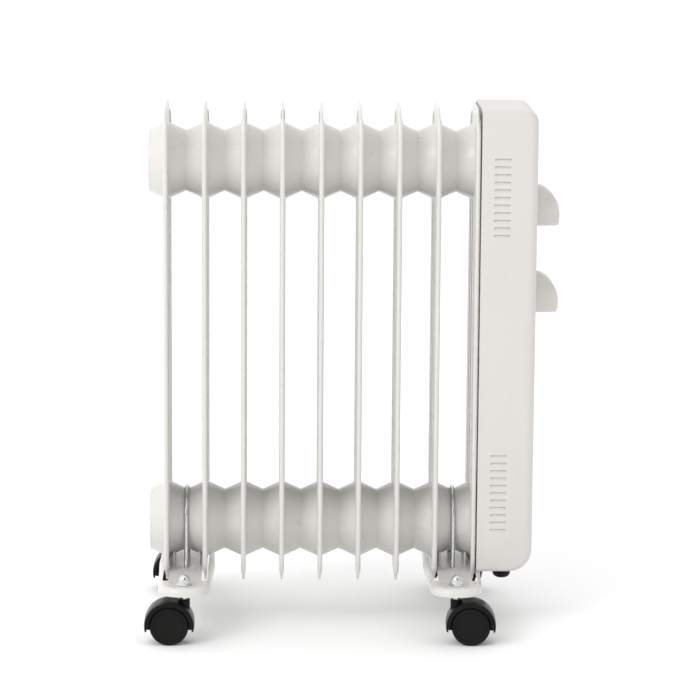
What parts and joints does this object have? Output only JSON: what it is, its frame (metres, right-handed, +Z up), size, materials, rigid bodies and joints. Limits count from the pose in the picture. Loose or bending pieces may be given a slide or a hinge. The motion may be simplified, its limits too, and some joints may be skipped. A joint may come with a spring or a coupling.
{
  "type": "oil filled radiator heater",
  "caption": "Oil filled electric radiator with upright pressed fins, a control housing with rotary knobs at one end, and clamped feet on twin-wheel swivel casters.",
  "frame": {"origin": "on the floor, under the middle of the heater's bounding box", "axes": "+Z up; +X along the header tubes, towards the control housing and its knobs; Y across the fins"},
  "size_m": [0.4502, 0.27, 0.573],
  "materials": {
    "white_enamel": "semi-gloss baked enamel",
    "white_plastic": "fine satin moulded plastic",
    "panel_film": "matt film",
    "lamp_lens": "clear amber",
    "chrome": "bright chrome plate",
    "zinc_steel": "zinc plated",
    "inner_steel": "plain steel",
    "element_brass": "machined",
    "black_plastic": "fine moulded grain",
    "wheel_plastic": "moulded nylon"
  },
  "bodies": {
    "radiator": {"acorn_nuts": "chrome", "bracket_left": "white_enamel", "bracket_right": "white_enamel", "caster_stems": "chrome", "control_nuts": "zinc_steel", "control_panel": "panel_film", "cord_gland": "black_plastic", "element_flange": "element_brass", "fin_1": "white_enamel", "fin_2": "white_enamel", "fin_3": "white_enamel", "fin_4": "white_enamel", "fin_5": "white_enamel", "fin_6": "white_enamel", "fin_7": "white_enamel", "fin_8": "white_enamel", "fin_9": "white_enamel", "gland_nut": "black_plastic", "heating_elements": "inner_steel", "housing_back_plate": "white_enamel", "housing_screws": "zinc_steel", "housing_shell": "white_plastic", "lower_end_cap": "white_enamel", "oil_filler_plug": "zinc_steel", "pilot_lamp": "lamp_lens", "power_switch_body": "black_plastic", "terminal_block": "black_plastic", "thermal_cutout": "black_plastic", "thermostat_body": "black_plastic", "tilt_switch_frame": "inner_steel", "u_bolt_left": "chrome", "u_bolt_right": "chrome", "upper_end_cap": "white_enamel", "upper_inner_cap": "inner_steel", "wing_nuts": "zinc_steel"},
    "thermostat_control": {"thermostat_knob": "white_plastic", "thermostat_shaft": "zinc_steel"},
    "power_control": {"power_knob": "white_plastic", "power_switch_shaft": "zinc_steel"},
    "tilt_pendulum": {"tilt_switch_weight": "inner_steel"},
    "caster_left_front": {"caster_hood_left_front": "black_plastic", "caster_axle_left_front": "zinc_steel"},
    "inner_wheel_body_left_front": {"inner_wheel_left_front": "wheel_plastic"},
    "outer_wheel_body_left_front": {"outer_wheel_left_front": "wheel_plastic"},
    "caster_left_back": {"caster_hood_left_back": "black_plastic", "caster_axle_left_back": "zinc_steel"},
    "inner_wheel_body_left_back": {"inner_wheel_left_back": "wheel_plastic"},
    "outer_wheel_body_left_back": {"outer_wheel_left_back": "wheel_plastic"},
    "caster_right_front": {"caster_hood_right_front": "black_plastic", "caster_axle_right_front": "zinc_steel"},
    "inner_wheel_body_right_front": {"inner_wheel_right_front": "wheel_plastic"},
    "outer_wheel_body_right_front": {"outer_wheel_right_front": "wheel_plastic"},
    "caster_right_back": {"caster_hood_right_back": "black_plastic", "caster_axle_right_back": "zinc_steel"},
    "inner_wheel_body_right_back": {"inner_wheel_right_back": "wheel_plastic"},
    "outer_wheel_body_right_back": {"outer_wheel_right_back": "wheel_plastic"}
  },
  "joints": [
    {"name": "thermostat_turn", "type": "hinge", "parent": "radiator", "child": "thermostat_control", "pos_m": [0.1977, 0, 0.4634], "axis": [-1, 0, 0], "range_deg": [0, 300]},
    {"name": "power_turn", "type": "hinge", "parent": "radiator", "child": "power_control", "pos_m": [0.1977, 0, 0.3675], "axis": [-1, 0, 0], "range_deg": [0, 135]},
    {"name": "tilt_swing", "type": "hinge", "parent": "radiator", "child": "tilt_pendulum", "pos_m": [0.1569, 0, 0.318], "axis": [0, 1, 0], "range_deg": [-12, 12]},
    {"name": "swivel_left_front", "type": "hinge", "parent": "radiator", "child": "caster_left_front", "pos_m": [-0.1819, -0.116, 0.049], "axis": [0, 0, 1], "continuous": true},
    {"name": "inner_roll_left_front", "type": "hinge", "parent": "caster_left_front", "child": "inner_wheel_body_left_front", "pos_m": [-0.1979, -0.116, 0.021], "axis": [0, -1, 0], "continuous": true},
    {"name": "outer_roll_left_front", "type": "hinge", "parent": "caster_left_front", "child": "outer_wheel_body_left_front", "pos_m": [-0.1979, -0.116, 0.021], "axis": [0, -1, 0], "continuous": true},
    {"name": "swivel_left_back", "type": "hinge", "parent": "radiator", "child": "caster_left_back", "pos_m": [-0.1819, 0.116, 0.049], "axis": [0, 0, 1], "continuous": true},
    {"name": "inner_roll_left_back", "type": "hinge", "parent": "caster_left_back", "child": "inner_wheel_body_left_back", "pos_m": [-0.1979, 0.116, 0.021], "axis": [0, -1, 0], "continuous": true},
    {"name": "outer_roll_left_back", "type": "hinge", "parent": "caster_left_back", "child": "outer_wheel_body_left_back", "pos_m": [-0.1979, 0.116, 0.021], "axis": [0, -1, 0], "continuous": true},
    {"name": "swivel_right_front", "type": "hinge", "parent": "radiator", "child": "caster_right_front", "pos_m": [0.1121, -0.116, 0.049], "axis": [0, 0, 1], "continuous": true},
    {"name": "inner_roll_right_front", "type": "hinge", "parent": "caster_right_front", "child": "inner_wheel_body_right_front", "pos_m": [0.12809, -0.11656, 0.021], "axis": [0.0349, 0.9994, 0], "continuous": true},
    {"name": "outer_roll_right_front", "type": "hinge", "parent": "caster_right_front", "child": "outer_wheel_body_right_front", "pos_m": [0.12809, -0.11656, 0.021], "axis": [0.0349, 0.9994, 0], "continuous": true},
    {"name": "swivel_right_back", "type": "hinge", "parent": "radiator", "child": "caster_right_back", "pos_m": [0.1121, 0.116, 0.049], "axis": [0, 0, 1], "continuous": true},
    {"name": "inner_roll_right_back", "type": "hinge", "parent": "caster_right_back", "child": "inner_wheel_body_right_back", "pos_m": [0.12794, 0.11377, 0.021], "axis": [0.1392, 0.9903, 0], "continuous": true},
    {"name": "outer_roll_right_back", "type": "hinge", "parent": "caster_right_back", "child": "outer_wheel_body_right_back", "pos_m": [0.12794, 0.11377, 0.021], "axis": [0.1392, 0.9903, 0], "continuous": true}
  ]
}
